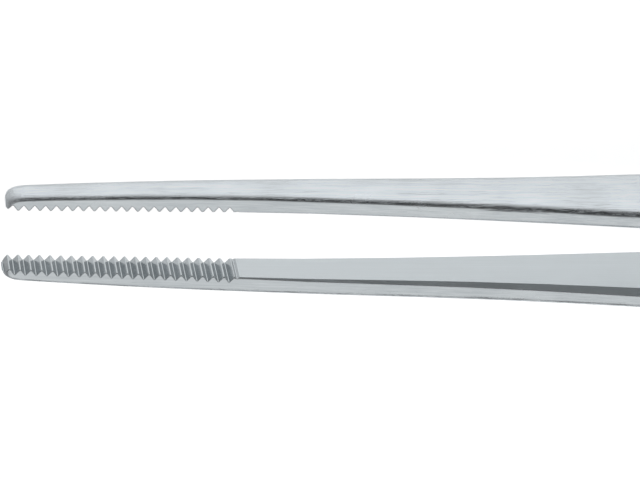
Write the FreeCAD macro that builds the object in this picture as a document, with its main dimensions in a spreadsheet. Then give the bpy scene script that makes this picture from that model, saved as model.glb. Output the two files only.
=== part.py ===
"""Thumb dressing forceps with serrated jaws, lying on one side.

Two forged arms are joined at the heel.  Both are made in the same way, in an arm's own axes: X runs
from the nose to the heel, Y runs outwards from the middle plane of the instrument, and Z runs across
the arm's width.  The instrument's frame has its origin under the middle of the length, on the surface
that the edges of the arms rest on, with +Z up and the jaws towards -X.
"""
import FreeCAD, Part
import math
import os
import Sketcher
from FreeCAD import Placement, Rotation, Vector

doc = FreeCAD.newDocument("dressing_forceps")

# Sections of the jaw and shank: distance from the nose, width, distance of the inner face from the
# middle plane, and thickness at the crown of the outer face.  A section with no distance of its own
# from the middle plane lies on the jaw's straight face, between the nose and the back of the jaw.
FRONT_STATIONS = {
    "nose_tip": (0.0, 1.2, 2.456, 0.5),
    "nose_corner": (0.12, 1.8, None, 0.62),
    "nose_side": (0.36, 2.2, None, 0.78),
    "nose_crown": (0.75, 2.35, None, 0.93),
    "nose_back": (1.4, 2.39, None, 1.025),
    "jaw_first": (2.6, 2.42, None, 1.077),
    "jaw_front": (4.8, 2.49, None, 1.145),
    "jaw_middle": (10.5, 2.74, None, 1.27),
    "jaw_back": (17.5, 3.08, 2.735, 1.34),
    "shank_front": (25.0, 3.7, 2.75, 1.4),
    "shank_second": (32.5, 4.4, 2.66, 1.52),
    "shank_third": (40.0, 5.4, 2.59, 1.64),
    "shank_back": (48.0, 6.8, 2.55, 1.81),
}

# Sections of the grip, spring and heel: distance from the heel, width as a share of the grip's, and
# the same last two values.  The grip's are a little wider than its ground sides.  Past the front of
# the weld the forging is left a little thick inside, and is then ground flat.
BACK_STATIONS = {
    "grip_front": (84.0, 0.962, 2.62, 2.08),
    "grip_second": (73.0, 1.009, 2.78, 2.14),
    "grip_third": (61.0, 1.009, 3.02, 2.14),
    "grip_rear": (53.0, 0.994, 3.12, 2.12),
    "grip_back": (46.0, 0.964, 3.0, 1.99),
    "spring_middle": (36.0, 0.911, 2.28, 1.72),
    "spring_back": (26.0, 0.856, 1.08, 1.5),
    "weld_front": (16.0, 0.811, 0.04, 1.48),
    "weld_second": (10.0, 0.791, -0.1, 1.58),
    "weld_third": (4.5, 0.778, -0.1, 1.56),
    "heel_side": (1.8, 0.7, -0.1, 1.48),
    "heel_corner": (0.5, 0.533, -0.1, 1.3),
    "heel": (0.0, 0.333, -0.1, 1.1),
}

SIZES = {
    "length": 145.0,
    "grip_width": 9.0,
    "crown_radius": 15.0,
    "jaw_rim": 0.28,
    "shank_rim": 0.48,
    "edge_break": 0.03,
    "bevel_width": 0.62,
    "bevel_depth": 0.42,
    "edges_grow_from": 13.0,
    "edges_grow_to": 49.0,
    "tooth_pitch": 0.8,
    "tooth_depth": 0.41,
    "crest_land": 0.08,
    "floor_land": 0.06,
    "lower_grooves": 22,
    "upper_grooves": 21,
    "lower_first_groove": 0.1,
    "upper_first_groove": 0.48,
    "end_groove_depth": 0.1,
    "end_groove_width": 0.36,
    "end_groove_gap": 0.58,
    "grip_groove_distance": 80.0,
    "grip_groove_pitch": 1.8,
    "grip_groove_depth": 0.2,
    "grip_groove_width": 0.7,
    "grip_grooves": 12,
    "grip_groove_turn": 50.0,
    "cutter_margin": 1.0,
    "cutter_reach": 0.12,
}

sheet = doc.addObject("Spreadsheet::Sheet", "sizes")


def fill_sheet():
    """Writes every driving dimension in its own row, under an alias."""
    cells = {}
    for stations, kinds in ((FRONT_STATIONS, ("place", "width", "gap", "thickness")),
                            (BACK_STATIONS, ("distance", "share", "gap", "thickness"))):
        for station, values in stations.items():
            for kind, value in zip(kinds, values):
                if value is not None:
                    cells[station + "_" + kind] = value
    cells.update(SIZES)
    for row, (alias, value) in enumerate(cells.items(), start=1):
        sheet.set("A%d" % row, alias.replace("_", " "))
        sheet.set("B%d" % row, str(value))
        sheet.setAlias("B%d" % row, alias)
    doc.recompute()


class Size:
    """A number together with the expression on the sheet that gives it."""

    def __init__(self, value, text):
        self.value = value
        self.text = text

    def join(self, other, sign, value):
        return Size(value, "(%s %s %s)" % (self.text, sign, other.text))

    def __add__(self, other):
        return self.join(other, "+", self.value + other.value)

    def __sub__(self, other):
        return self.join(other, "-", self.value - other.value)

    def __mul__(self, other):
        return self.join(other, "*", self.value * other.value)

    def __truediv__(self, other):
        return self.join(other, "/", self.value / other.value)

    def __neg__(self):
        return Size(-self.value, "(0 - %s)" % self.text)


def number(value):
    """A plain number, for use among sizes."""
    return Size(value, str(value))


def size(alias):
    """A size from the sheet."""
    return Size(float(sheet.get(alias)), "sizes." + alias)


ZERO = number(0)
ONE = number(1)
TWO = number(2)


def half(alias):
    """Half of a size from the sheet."""
    return size(alias) / TWO


def plane(body, role):
    """One of a body's three origin planes."""
    return next(item for item in body.Origin.OriginFeatures if item.Role == role)


def new_sketch(body, name, role):
    """A sketch on one of the body's origin planes."""
    sketch = body.newObject("Sketcher::SketchObject", name)
    sketch.AttachmentSupport = [(plane(body, role), "")]
    sketch.MapMode = "FlatFace"
    return sketch


def dimension(sketch, kind, amount, *places):
    """A driving dimension of a sketch, bound to the sheet."""
    index = sketch.addConstraint(Sketcher.Constraint(kind, *places, amount.value))
    sketch.setExpression("Constraints[%d]" % index, amount.text)


ORIGIN = (-1, 1)
LENGTH_AXIS = -1


def place_of(station):
    """A section's distance from the nose."""
    if station in FRONT_STATIONS:
        return size(station + "_place")
    return size("length") - size(station + "_distance")


def width_of(station):
    """An arm's width at a section."""
    if station in FRONT_STATIONS:
        return size(station + "_width")
    return size(station + "_share") * size("grip_width")


def jaw_rise():
    """How much the jaw's inner face leaves the middle plane for each millimetre towards the heel."""
    return (size("jaw_back_gap") - size("nose_tip_gap")) / (place_of("jaw_back") - place_of("nose_tip"))


def jaw_height(place):
    """The distance of the jaw's straight inner face from the middle plane, at a distance from the nose."""
    return size("nose_tip_gap") + jaw_rise() * (place - place_of("nose_tip"))


def gap_of(station):
    """The inner face's distance from the middle plane at a section."""
    if station in FRONT_STATIONS and FRONT_STATIONS[station][2] is None:
        return jaw_height(place_of(station))
    return size(station + "_gap")


def crown_of(station):
    """The distance of the outer face's crown from the middle plane at a section."""
    return gap_of(station) + size(station + "_thickness")


def growing(place, jaw_amount, shank_amount):
    """An edge's size at a distance from the nose: it grows along the shank, from the jaw's to the grip's."""
    share = (place - size("edges_grow_from")) / (size("edges_grow_to") - size("edges_grow_from"))
    share = Size(max(0.0, min(1.0, share.value)), "max(0; min(1; %s))" % share.text)
    return jaw_amount + share * (shank_amount - jaw_amount)


def add_section(body, station):
    """One section: a flat inner face, two bevels, two sides, two rounded rims and a crowned outer face."""
    place = place_of(station)
    gap = gap_of(station)
    half_width = width_of(station) / TWO
    bevel_width = growing(place, size("edge_break"), size("bevel_width"))
    bevel_depth = growing(place, size("edge_break"), size("bevel_depth"))
    rim_radius = growing(place, size("jaw_rim"), size("shank_rim"))
    axis = crown_of(station) - size("crown_radius")
    crown = size("crown_radius").value
    rim = rim_radius.value
    side_height = half_width.value
    rim_x = axis.value + math.sqrt((crown - rim) ** 2 - (side_height - rim) ** 2)
    lean = math.atan2(side_height - rim, rim_x - axis.value)
    middle = (lean + math.pi / 2) / 2
    inner = Vector(gap.value, side_height - bevel_width.value, 0)
    shoulder = Vector(gap.value + bevel_depth.value, side_height, 0)
    side = Vector(rim_x, side_height, 0)
    halfway = Vector(rim_x + rim * math.cos(middle), side_height - rim + rim * math.sin(middle), 0)
    shore = Vector(axis.value + crown * math.cos(lean), crown * math.sin(lean), 0)
    top = Vector(axis.value + crown, 0, 0)

    def other(point):
        return Vector(point.x, -point.y, 0)

    sketch = new_sketch(body, "section_" + station, "YZ_Plane")
    sketch.AttachmentOffset = Placement(Vector(0, 0, place.value), Rotation())
    sketch.setExpression("AttachmentOffset.Base.z", place.text)
    sketch.addGeometry([
        Part.LineSegment(other(inner), inner),
        Part.LineSegment(inner, shoulder),
        Part.LineSegment(shoulder, side),
        Part.Arc(side, halfway, shore),
        Part.Arc(shore, top, other(shore)),
        Part.Arc(other(shore), other(halfway), other(side)),
        Part.LineSegment(other(side), other(shoulder)),
        Part.LineSegment(other(shoulder), other(inner)),
    ])
    inner_line, upper_bevel, upper_side, upper_rim, outer_face, lower_rim, lower_side, lower_bevel = range(8)
    first, last, centre = 1, 2, 3
    # The arcs run anticlockwise about their centres, whichever way their three points were given.
    for near, far in (((inner_line, last), (upper_bevel, first)),
                      ((upper_bevel, last), (upper_side, first)),
                      ((lower_side, last), (lower_bevel, first)),
                      ((lower_bevel, last), (inner_line, first))):
        sketch.addConstraint(Sketcher.Constraint("Coincident", *near, *far))
    for near, far in (((upper_side, last), (upper_rim, last)),
                      ((upper_rim, first), (outer_face, last)),
                      ((outer_face, first), (lower_rim, last)),
                      ((lower_rim, first), (lower_side, first))):
        sketch.addConstraint(Sketcher.Constraint("Tangent", *near, *far))
    for near, far in (((inner_line, first), (inner_line, last)),
                      ((lower_side, last), (upper_side, first)),
                      ((lower_side, first), (upper_side, last))):
        sketch.addConstraint(Sketcher.Constraint("Symmetric", *near, *far, LENGTH_AXIS))
    sketch.addConstraint(Sketcher.Constraint("Horizontal", upper_side))
    dimension(sketch, "DistanceX", gap, *ORIGIN, inner_line, last)
    dimension(sketch, "DistanceY", half_width, *ORIGIN, upper_side, first)
    dimension(sketch, "DistanceY", bevel_width, inner_line, last, upper_side, first)
    dimension(sketch, "DistanceX", bevel_depth, inner_line, last, upper_side, first)
    dimension(sketch, "Radius", rim_radius, upper_rim)
    sketch.addConstraint(Sketcher.Constraint("Equal", upper_rim, lower_rim))
    dimension(sketch, "Radius", size("crown_radius"), outer_face)
    dimension(sketch, "DistanceX", -axis, outer_face, centre, *ORIGIN)
    return sketch


def add_loft(body):
    """The forging: one smooth skin through all sections."""
    sections = [add_section(body, station) for station in (*FRONT_STATIONS, *BACK_STATIONS)]
    doc.recompute()
    loft = body.newObject("PartDesign::AdditiveLoft", "forging")
    loft.Profile = sections[0]
    loft.Sections = sections[1:]
    doc.recompute()
    return loft


def polygon(sketch, corners):
    """A closed outline of straight lines, with each corner's two distances from the sketch's origin."""
    count = len(corners)
    points = [Vector(x.value, y.value, 0) for x, y in corners]
    sketch.addGeometry([Part.LineSegment(points[k], points[(k + 1) % count]) for k in range(count)])
    for k, (x, y) in enumerate(corners):
        sketch.addConstraint(Sketcher.Constraint("Coincident", k, 2, (k + 1) % count, 1))
        dimension(sketch, "DistanceX", x, *ORIGIN, k, 1)
        dimension(sketch, "DistanceY", y, *ORIGIN, k, 1)


def cut_across(body, name, sketch):
    """A pocket through the arm's whole width, to both sides of the sketch."""
    doc.recompute()
    before = len(body.Shape.Faces)
    pocket = body.newObject("PartDesign::Pocket", name)
    pocket.Profile = sketch
    pocket.Midplane = True
    pocket.Refine = False
    span = size("grip_width") + size("cutter_margin") * TWO
    pocket.Length = span.value
    pocket.setExpression("Length", span.text)
    doc.recompute()
    if len(pocket.Shape.Faces) <= before:
        raise RuntimeError(name + " removed nothing")
    return pocket


def repeat(body, name, feature, sketch, pitch, count):
    """Repeats a cut along its own sketch's length axis."""
    before = len(body.Shape.Faces)
    pattern = body.newObject("PartDesign::LinearPattern", name)
    pattern.Originals = [feature]
    pattern.Refine = False
    pattern.Direction = (sketch, ["H_Axis"])
    span = size(pitch) * (size(count) - ONE)
    pattern.Length = span.value
    pattern.setExpression("Length", span.text)
    pattern.Occurrences = int(size(count).value)
    pattern.setExpression("Occurrences", size(count).text)
    body.Tip = pattern
    doc.recompute()
    if len(pattern.Shape.Faces) <= before:
        raise RuntimeError(name + " removed nothing")
    return pattern


def grind_weld_face(body):
    """The flat inner face at the heel, on the middle plane, where the arms are welded together."""
    sketch = new_sketch(body, "weld_face_outline", "XY_Plane")
    margin = size("cutter_margin")
    front, back = place_of("spring_back"), size("length") + margin
    polygon(sketch, [(front, ZERO), (back, ZERO), (back, -margin), (front, -margin)])
    return cut_across(body, "weld_face", sketch)


def grind_side(body, name, direction):
    """One flat side of the grip, on which the instrument can lie."""
    sketch = new_sketch(body, name + "_outline", "XZ_Plane")
    near, far = half("grip_width"), half("grip_width") + size("cutter_margin")
    if direction < 0:
        near, far = -near, -far
    back = size("length")
    polygon(sketch, [(ZERO, near), (back, near), (back, far), (ZERO, far)])
    return cut_across(body, name, sketch)


def sloped_sketch(body, name, place, height, rise):
    """A sketch with its origin at a place and height, and its length axis on the slope given."""
    sketch = new_sketch(body, name, "XY_Plane")
    turn = Rotation(Vector(0, 0, 1), math.degrees(math.atan(rise.value)))
    sketch.AttachmentOffset = Placement(Vector(place.value, height.value, 0), turn)
    sketch.setExpression("AttachmentOffset.Base.x", place.text)
    sketch.setExpression("AttachmentOffset.Base.y", height.text)
    sketch.setExpression("AttachmentOffset.Rotation.Angle", "atan(%s)" % rise.text)
    return sketch


def cut_vee(sketch, mouth, floor, depth, level, inwards):
    """A groove's section, from its half widths at the mouth and the floor.  The flanks run straight
    on past the surface, which is at the level given, so that the mouth keeps its width there."""
    reach = size("cutter_reach")
    outer = mouth + reach * (mouth - floor) / depth
    top, bottom = (level - reach, level + depth) if inwards else (level + reach, level - depth)
    corners = [(-outer, top), (outer, top), (floor, bottom)]
    if floor.value > 0:
        corners.append((-floor, bottom))
    polygon(sketch, corners)


def cut_teeth(body, side):
    """The cross serrations: V-shaped grooves with narrow flat crests and floors, half a pitch apart
    on the two jaws so that they interlock."""
    place = size(side + "_first_groove")
    sketch = sloped_sketch(body, "tooth_groove_outline", place, jaw_height(place), jaw_rise())
    mouth = (size("tooth_pitch") - size("crest_land")) / TWO
    cut_vee(sketch, mouth, half("floor_land"), size("tooth_depth"), ZERO, inwards=True)
    groove = cut_across(body, "tooth_groove", sketch)
    teeth = repeat(body, "teeth", groove, sketch, "tooth_pitch", side + "_grooves")
    check_grooves(teeth.Shape, side)
    return teeth


def check_grooves(shape, side):
    """Stops if one of the serrations is still filled."""
    for k in range(int(size(side + "_grooves").value)):
        place = size(side + "_first_groove") + size("tooth_pitch") * number(k)
        height = jaw_height(place) + half("tooth_depth")
        if shape.isInside(Vector(place.value, height.value, 0), size("edge_break").value / 100, True):
            raise RuntimeError("%s serration %d is not cut" % (side, k + 1))


def cut_end_groove(body, side):
    """The shallow run-out groove behind the last tooth."""
    last = size(side + "_first_groove") + size("tooth_pitch") * (size(side + "_grooves") - ONE)
    place = last + size("end_groove_gap")
    sketch = sloped_sketch(body, "end_groove_outline", place, jaw_height(place), jaw_rise())
    cut_vee(sketch, half("end_groove_width"), half("floor_land"), size("end_groove_depth"), ZERO,
            inwards=True)
    return cut_across(body, "end_groove", sketch)


def cut_grip(body):
    """Shallow cross grooves under the thumb or finger, which follow the crown of the outer face."""
    place = size("length") - size("grip_groove_distance")
    rise = (crown_of("grip_third") - crown_of("grip_second")) / (place_of("grip_third")
                                                                 - place_of("grip_second"))
    height = crown_of("grip_second") + rise * (place - place_of("grip_second"))
    sketch = sloped_sketch(body, "grip_groove_outline", place, height - size("crown_radius"), rise)
    cut_vee(sketch, half("grip_groove_width"), ZERO, size("grip_groove_depth"), size("crown_radius"),
            inwards=False)
    doc.recompute()
    groove = body.newObject("PartDesign::Groove", "grip_groove")
    groove.Profile = sketch
    groove.ReferenceAxis = (sketch, ["H_Axis"])
    groove.Midplane = True
    groove.Refine = False
    groove.Angle = size("grip_groove_turn").value
    groove.setExpression("Angle", size("grip_groove_turn").text)
    doc.recompute()
    return repeat(body, "grip", groove, sketch, "grip_groove_pitch", "grip_grooves")


def make_arm(name, side, half_turn):
    """One arm, with the serrations of its side of the instrument, set in the instrument's frame."""
    body = doc.addObject("PartDesign::Body", name)
    body.Label = name
    add_loft(body)
    grind_weld_face(body)
    grind_side(body, "left_side", 1)
    grind_side(body, "right_side", -1)
    cut_teeth(body, side)
    cut_end_groove(body, side)
    cut_grip(body)
    front, height = -half("length"), half("grip_width")
    body.Placement = Placement(Vector(front.value, 0, height.value), Rotation(Vector(1, 0, 0), half_turn))
    body.setExpression("Placement.Base.x", front.text)
    body.setExpression("Placement.Base.z", height.text)
    return body


def check_document():
    """Stops if an object failed to build."""
    for item in doc.Objects:
        if "Invalid" in item.State or "Error" in item.State:
            raise RuntimeError(item.Name + " failed: " + ", ".join(item.State))


fill_sheet()
arms = [make_arm("upper_arm", "upper", 0), make_arm("lower_arm", "lower", 180)]
doc.recompute()
check_document()
for arm in arms:
    if arm.Shape.isNull() or not arm.Shape.isValid():
        raise RuntimeError(arm.Name + " has no valid shape")
os.makedirs("parts", exist_ok=True)
for arm in arms:
    arm.Shape.exportStep("parts/%s.step" % arm.Label)
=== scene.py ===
"""Thumb dressing forceps with serrated jaws, lying on one side on a pale floor.

All lengths are in metres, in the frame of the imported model: the jaws point to -X, +Y runs from the
middle plane towards the upper arm, and +Z is up, across the width of the arms.
"""
import logging
import math
from dataclasses import dataclass, replace
from enum import Enum
from typing import Dict, List, Tuple, Union

import bmesh
import bpy
from mathutils import Matrix, Vector


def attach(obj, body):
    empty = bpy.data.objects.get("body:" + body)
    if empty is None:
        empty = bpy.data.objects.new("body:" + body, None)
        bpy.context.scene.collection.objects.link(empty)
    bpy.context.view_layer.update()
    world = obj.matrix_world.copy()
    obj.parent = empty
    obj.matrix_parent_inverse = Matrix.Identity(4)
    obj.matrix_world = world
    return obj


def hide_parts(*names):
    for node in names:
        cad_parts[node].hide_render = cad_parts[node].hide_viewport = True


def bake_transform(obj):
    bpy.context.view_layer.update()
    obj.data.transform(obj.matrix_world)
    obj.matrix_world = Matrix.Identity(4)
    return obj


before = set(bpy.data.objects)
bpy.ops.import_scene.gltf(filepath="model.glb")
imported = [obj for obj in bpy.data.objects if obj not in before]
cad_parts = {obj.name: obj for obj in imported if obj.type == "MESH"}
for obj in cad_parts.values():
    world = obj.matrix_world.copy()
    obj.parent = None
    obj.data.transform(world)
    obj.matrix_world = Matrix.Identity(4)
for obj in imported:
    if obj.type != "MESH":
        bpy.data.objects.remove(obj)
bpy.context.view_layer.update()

log = logging.getLogger("forceps")

Colour = Tuple[float, float, float]
Triple = Tuple[float, float, float]
Span = Tuple[float, float]
Output = bpy.types.NodeSocket
Number = Union[float, bpy.types.NodeSocket]


class Socket(Enum):
    """Kinds of socket that a node group can have."""

    VALUE = "NodeSocketFloat"
    VECTOR = "NodeSocketVector"


class Side(Enum):
    """The two arms, by the name of their node."""

    UPPER = "upper_arm"
    LOWER = "lower_arm"

    @property
    def outwards(self) -> float:
        """The direction along Y in which the arm's outer face looks."""
        return 1.0 if self is Side.UPPER else -1.0


# Node helpers


@dataclass
class Nodes:
    """Adds nodes to one tree and links them by name."""

    tree: bpy.types.NodeTree

    def add(self, kind: str, **settings: object) -> bpy.types.Node:
        """Adds a node.

        Args:
            kind: the node's type name.
            **settings: properties set on the node.

        Returns:
            The new node.
        """
        node = self.tree.nodes.new(kind)
        for name, value in settings.items():
            setattr(node, name, value)
        return node

    def link(self, source: Output, target: bpy.types.NodeSocket) -> None:
        """Links one output to one input.

        Args:
            source: the output.
            target: the input.
        """
        self.tree.links.new(source, target)

    def feed(self, target: bpy.types.NodeSocket, value: Number) -> None:
        """Gives an input a number or another node's output.

        Args:
            target: the input.
            value: a plain number, or the output to link.
        """
        if isinstance(value, bpy.types.NodeSocket):
            self.link(value, target)
        else:
            target.default_value = value

    def math(self, operation: str, first: Number, second: Number) -> Output:
        """One Math node.

        Args:
            operation: the node's operation.
            first: the first number or output.
            second: the second number or output.

        Returns:
            The result's output.
        """
        node = self.add("ShaderNodeMath", operation=operation)
        self.feed(node.inputs[0], first)
        self.feed(node.inputs[1], second)
        return node.outputs[0]

    def shares(self, first: Output, second: Output, share: float) -> Output:
        """Mixes two values.

        Args:
            first: the value that the share is taken of.
            second: the value that makes up the rest.
            share: the first value's share, from 0 to 1.

        Returns:
            The mixed value's output.
        """
        return self.math("ADD", self.math("MULTIPLY", first, share),
                         self.math("MULTIPLY", second, 1.0 - share))

    def spread(self, value: Output, low: Number, high: Number,
               start: float = 0.0, end: float = 1.0) -> Output:
        """Maps a value from one range to another, held at both ends.

        Args:
            value: the output to map.
            low: the result at start.
            high: the result at end.
            start: where the source range begins.
            end: where the source range ends.

        Returns:
            The mapped value's output.
        """
        node = self.add("ShaderNodeMapRange")
        self.link(value, node.inputs["Value"])
        node.inputs["From Min"].default_value = start
        node.inputs["From Max"].default_value = end
        self.feed(node.inputs["To Min"], low)
        self.feed(node.inputs["To Max"], high)
        return node.outputs["Result"]

    def noise(self, vector: Output, scale: float, detail: float, roughness: float = 0.5) -> Output:
        """One Noise node.

        Args:
            vector: where the noise is looked up.
            scale: the noise's scale.
            detail: how many finer layers it has.
            roughness: how strong the finer layers are.

        Returns:
            The noise's output, about 0.5 on average.
        """
        node = self.add("ShaderNodeTexNoise")
        self.link(vector, node.inputs["Vector"])
        node.inputs["Scale"].default_value = scale
        node.inputs["Detail"].default_value = detail
        node.inputs["Roughness"].default_value = roughness
        return node.outputs["Fac"]

    def x_of(self, vector: Output) -> Output:
        """Takes a vector's X.

        Args:
            vector: the vector's output.

        Returns:
            The output with its X.
        """
        node = self.add("ShaderNodeSeparateXYZ")
        self.link(vector, node.inputs["Vector"])
        return node.outputs["X"]


def bare_nodes(owner: Union[bpy.types.Material, bpy.types.World]) -> Nodes:
    """Turns on nodes and removes those that are there from the start.

    Args:
        owner: the material or world.

    Returns:
        A helper for its empty tree.
    """
    owner.use_nodes = True
    owner.node_tree.nodes.clear()
    return Nodes(owner.node_tree)


def new_group(name: str, inputs: Dict[str, Socket],
              outputs: Dict[str, Socket]) -> Tuple[Nodes, bpy.types.Node, bpy.types.Node]:
    """Starts a shader node group.

    Args:
        name: the group's name.
        inputs: the input sockets' names and kinds.
        outputs: the output sockets' names and kinds.

    Returns:
        The group's node helper, its input node and its output node.
    """
    tree = bpy.data.node_groups.new(name, "ShaderNodeTree")
    for direction, sockets in (("INPUT", inputs), ("OUTPUT", outputs)):
        for label, kind in sockets.items():
            tree.interface.new_socket(label, in_out=direction, socket_type=kind.value)
    nodes = Nodes(tree)
    return nodes, nodes.add("NodeGroupInput"), nodes.add("NodeGroupOutput")


# Object helpers


def into_mesh(name: str, shape: bmesh.types.BMesh) -> bpy.types.Mesh:
    """Turns a finished shape into a mesh and frees it.

    Args:
        name: the mesh's name.
        shape: the shape.

    Returns:
        The new mesh.
    """
    mesh = bpy.data.meshes.new(name)
    shape.to_mesh(mesh)
    shape.free()
    return mesh


def into_scene(name: str, data: bpy.types.ID) -> bpy.types.Object:
    """Makes an object and links it to the scene.

    Args:
        name: the object's name.
        data: its mesh, lamp or camera.

    Returns:
        The new object, at the origin.
    """
    thing = bpy.data.objects.new(name, data)
    bpy.context.scene.collection.objects.link(thing)
    return thing


# Finishes, with painted shade and painted highlights in their colours


@dataclass(frozen=True)
class Grain:
    """Brushed lines that run along X: fine hairs, broader bands, sparse long scratches and clouds.

    Scales and details are those of the noises.  A scratch fades in over its range of noise.
    """

    hair_scale: float = 1.0
    hair_detail: float = 4.0
    hair_roughness: float = 0.62
    hair_share: float = 0.65
    band_scale: float = 0.28
    band_detail: float = 2.0
    scratch_scale: float = 1.7
    scratch_detail: float = 1.0
    scratch_range: Span = (0.62, 0.72)
    cloud_scale: float = 220.0
    cloud_detail: float = 3.0

    def group(self) -> bpy.types.NodeTree:
        """Builds the node group.

        Returns:
            The group, with a line height, a cloud mask and a scratch mask as outputs.
        """
        nodes, given, result = new_group(
            "brushed_grain",
            {"Vector": Socket.VECTOR, "Across": Socket.VALUE, "Along": Socket.VALUE},
            {"Lines": Socket.VALUE, "Clouds": Socket.VALUE, "Scratches": Socket.VALUE})
        stretch = nodes.add("ShaderNodeCombineXYZ")
        for axis, density in (("X", "Along"), ("Y", "Across"), ("Z", "Across")):
            nodes.link(given.outputs[density], stretch.inputs[axis])
        scaled = nodes.add("ShaderNodeVectorMath", operation="MULTIPLY")
        nodes.link(given.outputs["Vector"], scaled.inputs[0])
        nodes.link(stretch.outputs["Vector"], scaled.inputs[1])
        drawn = scaled.outputs["Vector"]
        hairs = nodes.noise(drawn, self.hair_scale, self.hair_detail, self.hair_roughness)
        bands = nodes.noise(drawn, self.band_scale, self.band_detail)
        scratches = nodes.noise(drawn, self.scratch_scale, self.scratch_detail)
        clouds = nodes.noise(given.outputs["Vector"], self.cloud_scale, self.cloud_detail)
        nodes.link(nodes.shares(hairs, bands, self.hair_share), result.inputs["Lines"])
        nodes.link(nodes.spread(scratches, 0.0, 1.0, *self.scratch_range),
                   result.inputs["Scratches"])
        nodes.link(clouds, result.inputs["Clouds"])
        return nodes.tree


@dataclass(frozen=True)
class Steel:
    """A steel finish: brushed lines along the instrument over a slightly cloudy satin surface.

    Across and along say how dense the lines are in each direction.  The edges are the radii of the
    softened rims, from the nose to the shank and from the grip to the heel.  Depths are in metres.
    Pale and deep also carry painted light: the copies for the sides, inner faces, inner bevels and
    cut flanks are coloured darker or lighter than the outer face to stand in for how the light falls
    on them, while their roughness, lines and rims differ for real.
    """

    name: str
    pale: Colour
    deep: Colour
    smoothest: float
    roughest: float
    line_depth: float
    scratch_depth: float
    across: float
    along: float
    soft_edge: float
    grip_edge: float
    shank_end: float = -0.025
    grip_start: float = -0.011
    edge_samples: int = 8
    line_share: float = 0.6
    tone_range: Span = (0.36, 0.64)
    cloud_range: Span = (0.3, 0.7)

    def material(self, grain: bpy.types.NodeTree) -> bpy.types.Material:
        """Builds the material.

        Args:
            grain: the brushed grain group.

        Returns:
            The new material.
        """
        material = bpy.data.materials.new(self.name)
        nodes = bare_nodes(material)
        place = nodes.add("ShaderNodeTexCoord").outputs["Object"]
        lines = nodes.add("ShaderNodeGroup", node_tree=grain)
        nodes.link(place, lines.inputs["Vector"])
        lines.inputs["Across"].default_value = self.across
        lines.inputs["Along"].default_value = self.along
        shader = nodes.add("ShaderNodeBsdfPrincipled")
        shader.inputs["Metallic"].default_value = 1.0
        nodes.link(self.tone(nodes, lines), shader.inputs["Base Color"])
        nodes.link(nodes.spread(lines.outputs["Clouds"], self.smoothest, self.roughest,
                                *self.cloud_range), shader.inputs["Roughness"])
        nodes.link(self.relief(nodes, lines, place), shader.inputs["Normal"])
        output = nodes.add("ShaderNodeOutputMaterial")
        nodes.link(shader.outputs["BSDF"], output.inputs["Surface"])
        return material

    def tone(self, nodes: Nodes, lines: bpy.types.Node) -> Output:
        """The steel's colour, between deep and pale.

        Args:
            nodes: the material's node helper.
            lines: the brushed grain.

        Returns:
            The colour's output.
        """
        shade = nodes.add("ShaderNodeMix", data_type="RGBA")
        shade.inputs["A"].default_value = (*self.deep, 1.0)
        shade.inputs["B"].default_value = (*self.pale, 1.0)
        mixed = nodes.shares(lines.outputs["Lines"], lines.outputs["Clouds"], self.line_share)
        nodes.link(nodes.spread(mixed, 0.0, 1.0, *self.tone_range), shade.inputs["Factor"])
        return shade.outputs["Result"]

    def relief(self, nodes: Nodes, lines: bpy.types.Node, place: Output) -> Output:
        """Softened rims with raised lines and sunk scratches.

        Args:
            nodes: the material's node helper.
            lines: the brushed grain.
            place: the coordinates along the instrument.

        Returns:
            The normal's output.
        """
        edges = nodes.add("ShaderNodeBevel", samples=self.edge_samples)
        nodes.link(nodes.spread(nodes.x_of(place), self.soft_edge, self.grip_edge,
                                self.shank_end, self.grip_start), edges.inputs["Radius"])
        bump = nodes.add("ShaderNodeBump")
        nodes.link(edges.outputs["Normal"], bump.inputs["Normal"])
        bump.inputs["Strength"].default_value = 1.0
        bump.inputs["Distance"].default_value = 1.0
        raised = nodes.math("MULTIPLY", lines.outputs["Lines"], self.line_depth)
        sunk = nodes.math("MULTIPLY", lines.outputs["Scratches"], -self.scratch_depth)
        nodes.link(nodes.math("ADD", raised, sunk), bump.inputs["Height"])
        return bump.outputs["Normal"]


BRUSHED = Steel(
    name="brushed_steel", pale=(0.785, 0.835, 0.87), deep=(0.565, 0.605, 0.63),
    smoothest=0.22, roughest=0.28, line_depth=0.00004, scratch_depth=0.000008,
    across=8000.0, along=230.0, soft_edge=0.0012, grip_edge=0.00012)
# Painted shade: the sides' pale colour is darker than the outer face's, standing in for the lesser
# light on them; their finer lines and sharper rims are real.
SHADED_SIDES = replace(
    BRUSHED, name="side_steel_painted_shade", pale=(0.74, 0.785, 0.805),
    line_depth=0.000005, scratch_depth=0.000003, soft_edge=0.00014)
# Painted highlight: the inner bevels' colours are much paler than the outer face's so that the band
# along them shows light; their higher roughness is real.
LIT_BEVEL = replace(
    BRUSHED, name="bevel_steel_painted_highlight", pale=(0.84, 0.885, 0.91), deep=(0.76, 0.80, 0.825),
    smoothest=0.42, roughest=0.48, line_depth=0.000004, scratch_depth=0.0,
    soft_edge=0.00003, grip_edge=0.00003)
# Painted shade: the inner faces are coloured much darker than the outer face, standing in for the
# shade between the two arms; their rougher satin surface and finer lines are real.
SHADED_SATIN = Steel(
    name="satin_steel", pale=(0.585, 0.625, 0.645), deep=(0.535, 0.573, 0.592),
    smoothest=0.28, roughest=0.36, line_depth=0.0000012, scratch_depth=0.0,
    across=14000.0, along=160.0, soft_edge=0.00003, grip_edge=0.00003)
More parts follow.
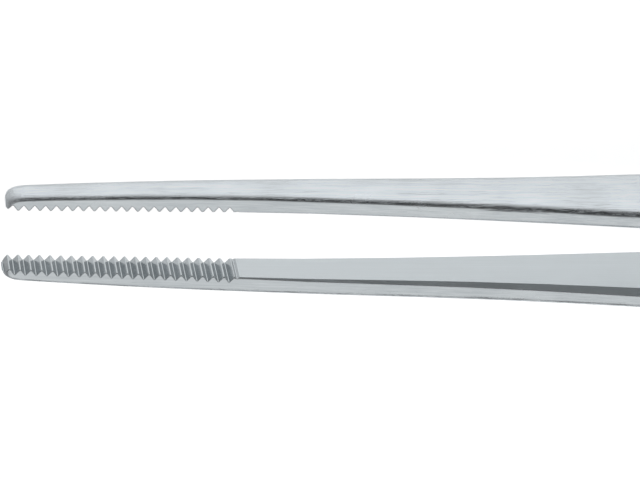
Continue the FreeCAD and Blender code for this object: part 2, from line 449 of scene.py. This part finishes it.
# Painted shade: the serrations' flanks are coloured much darker to stand in for the shade on them in
# the grooves; their smoothness and fine lines are real.
SHADED_CUT = Steel(
    name="cut_steel_painted_shade", pale=(0.45, 0.485, 0.505), deep=(0.29, 0.315, 0.33),
    smoothest=0.20, roughest=0.28, line_depth=0.000001, scratch_depth=0.0,
    across=9000.0, along=4000.0, soft_edge=0.00002, grip_edge=0.00002)
FINISHES_AND_PAINTED_LIGHT = (BRUSHED, SHADED_SIDES, LIT_BEVEL, SHADED_SATIN, SHADED_CUT)


# The two arms


@dataclass
class Arm:
    """One arm, with smooth faces and crisp edges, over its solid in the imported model.

    The leans are shares of a face's normal: how far it looks along the arm for a cut flank, inwards
    for an inner face, and across the arm for a side or an inner bevel.
    """

    side: Side
    merge_distance: float = 0.5e-6
    crisp_angle: float = math.radians(30)
    teeth_end: float = -0.0535
    cut_lean: float = 0.35
    inner_lean: float = -0.3
    side_lean: float = 0.95
    bevel_lean: float = 0.3

    def build(self) -> bpy.types.Object:
        """Makes the arm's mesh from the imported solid.

        Returns:
            The arm's object, at the origin.
        """
        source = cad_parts[self.side.value]
        shape = bmesh.new()
        shape.from_mesh(source.data)
        bmesh.ops.remove_doubles(shape, verts=shape.verts, dist=self.merge_distance)
        bmesh.ops.dissolve_degenerate(shape, edges=shape.edges, dist=self.merge_distance)
        shape.normal_update()
        for face in shape.faces:
            face.smooth = True
            # The material picks the face's finish together with its painted shade or painted
            # highlight, by where the face looks.
            face.material_index = FINISHES_AND_PAINTED_LIGHT.index(self.finish_and_painted_light_of(face))
        for edge in shape.edges:
            if len(edge.link_faces) == 2:
                edge.smooth = edge.calc_face_angle() < self.crisp_angle
        name = self.side.value + "_steel"
        return into_scene(name, into_mesh(name, shape))

    def finish_and_painted_light_of(self, face: bmesh.types.BMFace) -> Steel:
        """Chooses a face's finish by where it lies and where it looks.

        Args:
            face: a face of the arm.

        Returns:
            The finish of the serrations' flanks, of an inner bevel, of the inner face, of a side or
            of the outer face; all but the outer face's carry painted shade or a painted highlight in
            their colour.
        """
        along, _, across = (abs(part) for part in face.normal)
        outwards = face.normal.y * self.side.outwards
        in_teeth = face.calc_center_median().x < self.teeth_end
        if in_teeth and along > self.cut_lean and outwards < -self.cut_lean:
            return SHADED_CUT
        if outwards < self.inner_lean:
            return LIT_BEVEL if across > self.bevel_lean else SHADED_SATIN
        return SHADED_SIDES if across > self.side_lean else BRUSHED

    def dress(self, piece: bpy.types.Object, materials: List[bpy.types.Material]) -> None:
        """Gives the arm its finishes and hides its solid in the imported model.

        Args:
            piece: the arm's object.
            materials: one for each finish, in their order.
        """
        for material in materials:
            piece.data.materials.append(material)
        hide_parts(self.side.value)


@dataclass
class Forceps:
    """Both arms, the lower one on a body of its own."""

    weld_end: Triple = (0.066, 0.0, 0.0045)
    spring_start: Triple = (0.046, 0.0, 0.0045)

    def make(self) -> None:
        """Builds and dresses both arms."""
        grain = Grain().group()
        materials = [finish.material(grain) for finish in FINISHES_AND_PAINTED_LIGHT]
        for side in Side:
            arm = Arm(side)
            piece = arm.build()
            arm.dress(piece, materials)
            if side is Side.UPPER:
                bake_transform(piece)
            else:
                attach(piece, "lower")
            log.info("%s: %d faces", piece.name, len(piece.data.polygons))


# Studio


@dataclass
class Studio:
    """Pale floor, one large soft lamp overhead and a plain grey surround with a dark card.

    The floor glows less in reflections in front of the noses, before front_start, than behind
    front_end: painted shade that darkens the noses where they mirror it.  The card is a round patch
    of the surround, darkest inside its core.
    """

    floor_half: float = 3.0
    floor_colour: Colour = (0.85, 0.85, 0.85)
    camera_glow: float = 0.80
    mirror_glow: float = 0.74
    front_start: float = -0.0762
    front_end: float = -0.0724
    front_shade: float = 0.25
    surround: float = 0.26
    card: float = 0.05
    card_towards: Triple = (0.156, 0.77, 0.66)
    card_edge: float = math.radians(36)
    card_core: float = math.radians(24)
    lamp_towards: Triple = (0.10, -0.47, 0.88)
    lamp_distance: float = 0.9
    lamp_size: float = 1.1
    lamp_power: float = 2.2
    middle: Triple = (-0.03, 0.0, 0.0045)

    def make(self) -> None:
        """Builds the floor, the lamp and the surround."""
        self.make_floor()
        self.make_lamp()
        self.make_surround()

    def make_floor(self) -> None:
        """The floor, white to the camera and in reflections, which still takes the shadow."""
        shape = bmesh.new()
        bmesh.ops.create_grid(shape, x_segments=1, y_segments=1, size=self.floor_half)
        floor = into_scene("floor", into_mesh("floor", shape))
        floor.data.materials.append(self.floor_material())
        log.info("floor")

    def floor_material(self) -> bpy.types.Material:
        """Builds the floor's material, whose glow differs for the camera and for reflections.

        Returns:
            The new material.
        """
        material = bpy.data.materials.new("pale_floor")
        nodes = bare_nodes(material)
        paths = nodes.add("ShaderNodeLightPath")
        seen = nodes.math("MAXIMUM", paths.outputs["Is Camera Ray"],
                          paths.outputs["Is Transmission Ray"])
        place = nodes.add("ShaderNodeTexCoord").outputs["Object"]
        # Painted shade: in reflections the floor glows less in front of the noses so that the noses
        # look darker; the camera still sees it white.
        mirrored = nodes.spread(nodes.x_of(place), self.front_shade * self.mirror_glow,
                                self.mirror_glow, self.front_start, self.front_end)
        glow = nodes.math("ADD", nodes.math("MULTIPLY", seen, self.camera_glow),
                          nodes.math("MULTIPLY", paths.outputs["Is Glossy Ray"], mirrored))
        shader = nodes.add("ShaderNodeBsdfPrincipled")
        shader.inputs["Base Color"].default_value = (*self.floor_colour, 1.0)
        shader.inputs["Roughness"].default_value = 1.0
        shader.inputs["Specular IOR Level"].default_value = 0.0
        shader.inputs["Emission Color"].default_value = (1.0, 1.0, 1.0, 1.0)
        nodes.link(glow, shader.inputs["Emission Strength"])
        output = nodes.add("ShaderNodeOutputMaterial")
        nodes.link(shader.outputs["BSDF"], output.inputs["Surface"])
        return material

    def make_lamp(self) -> None:
        """The soft lamp, turned towards the instrument."""
        lamp = bpy.data.lights.new("softbox", "AREA")
        lamp.shape = "SQUARE"
        lamp.size = self.lamp_size
        lamp.energy = self.lamp_power
        way = Vector(self.lamp_towards).normalized()
        place = Vector(self.middle) + way * self.lamp_distance
        turn = way.to_track_quat("Z", "Y").to_matrix().to_4x4()
        into_scene("softbox", lamp).matrix_world = Matrix.Translation(place) @ turn
        log.info("softbox")

    def make_surround(self) -> None:
        """A grey world with a dark card beyond the upper arm, white where the camera sees it."""
        world = bpy.data.worlds.new("surround")
        nodes = bare_nodes(world)
        towards = nodes.add("ShaderNodeTexCoord").outputs["Generated"]
        facing = nodes.add("ShaderNodeVectorMath", operation="DOT_PRODUCT")
        nodes.link(towards, facing.inputs[0])
        facing.inputs[1].default_value = Vector(self.card_towards).normalized()
        grey = nodes.spread(facing.outputs["Value"], self.surround, self.card,
                            math.cos(self.card_edge), math.cos(self.card_core))
        paths = nodes.add("ShaderNodeLightPath")
        light = nodes.add("ShaderNodeBackground")
        nodes.link(nodes.spread(paths.outputs["Is Camera Ray"], grey, 1.0),
                   light.inputs["Strength"])
        output = nodes.add("ShaderNodeOutputWorld")
        nodes.link(light.outputs["Background"], output.inputs["Surface"])
        bpy.context.scene.world = world
        log.info("surround")


@dataclass
class Viewpoint:
    """The photograph's camera."""

    place: Triple = (-0.100559, 0.156127, 0.291819)
    forward: Triple = (0.15629, -0.47227, -0.86749)
    upwards: Triple = (-0.01225, 0.87728, -0.47982)
    focal_pixels: float = 4431.3
    picture_width: int = 640
    sensor_width: float = 36.0
    nearest: float = 0.01

    def make(self) -> None:
        """Creates the camera and makes it the scene's own."""
        lens = bpy.data.cameras.new("camera")
        lens.sensor_width = self.sensor_width
        lens.lens = self.focal_pixels * self.sensor_width / self.picture_width
        lens.clip_start = self.nearest
        back = -Vector(self.forward).normalized()
        right = Vector(self.upwards).cross(back).normalized()
        above = back.cross(right)
        turn = Matrix((right, above, back)).transposed().to_4x4()
        camera = into_scene("camera", lens)
        camera.matrix_world = Matrix.Translation(Vector(self.place)) @ turn
        bpy.context.scene.camera = camera
        bpy.context.scene.view_settings.view_transform = "Standard"
        log.info("camera")


def main() -> None:
    """Builds the instrument, the studio and the camera."""
    logging.basicConfig(level=logging.INFO)
    Viewpoint().make()
    Forceps().make()
    Studio().make()


if __name__ == "__main__":
    main()
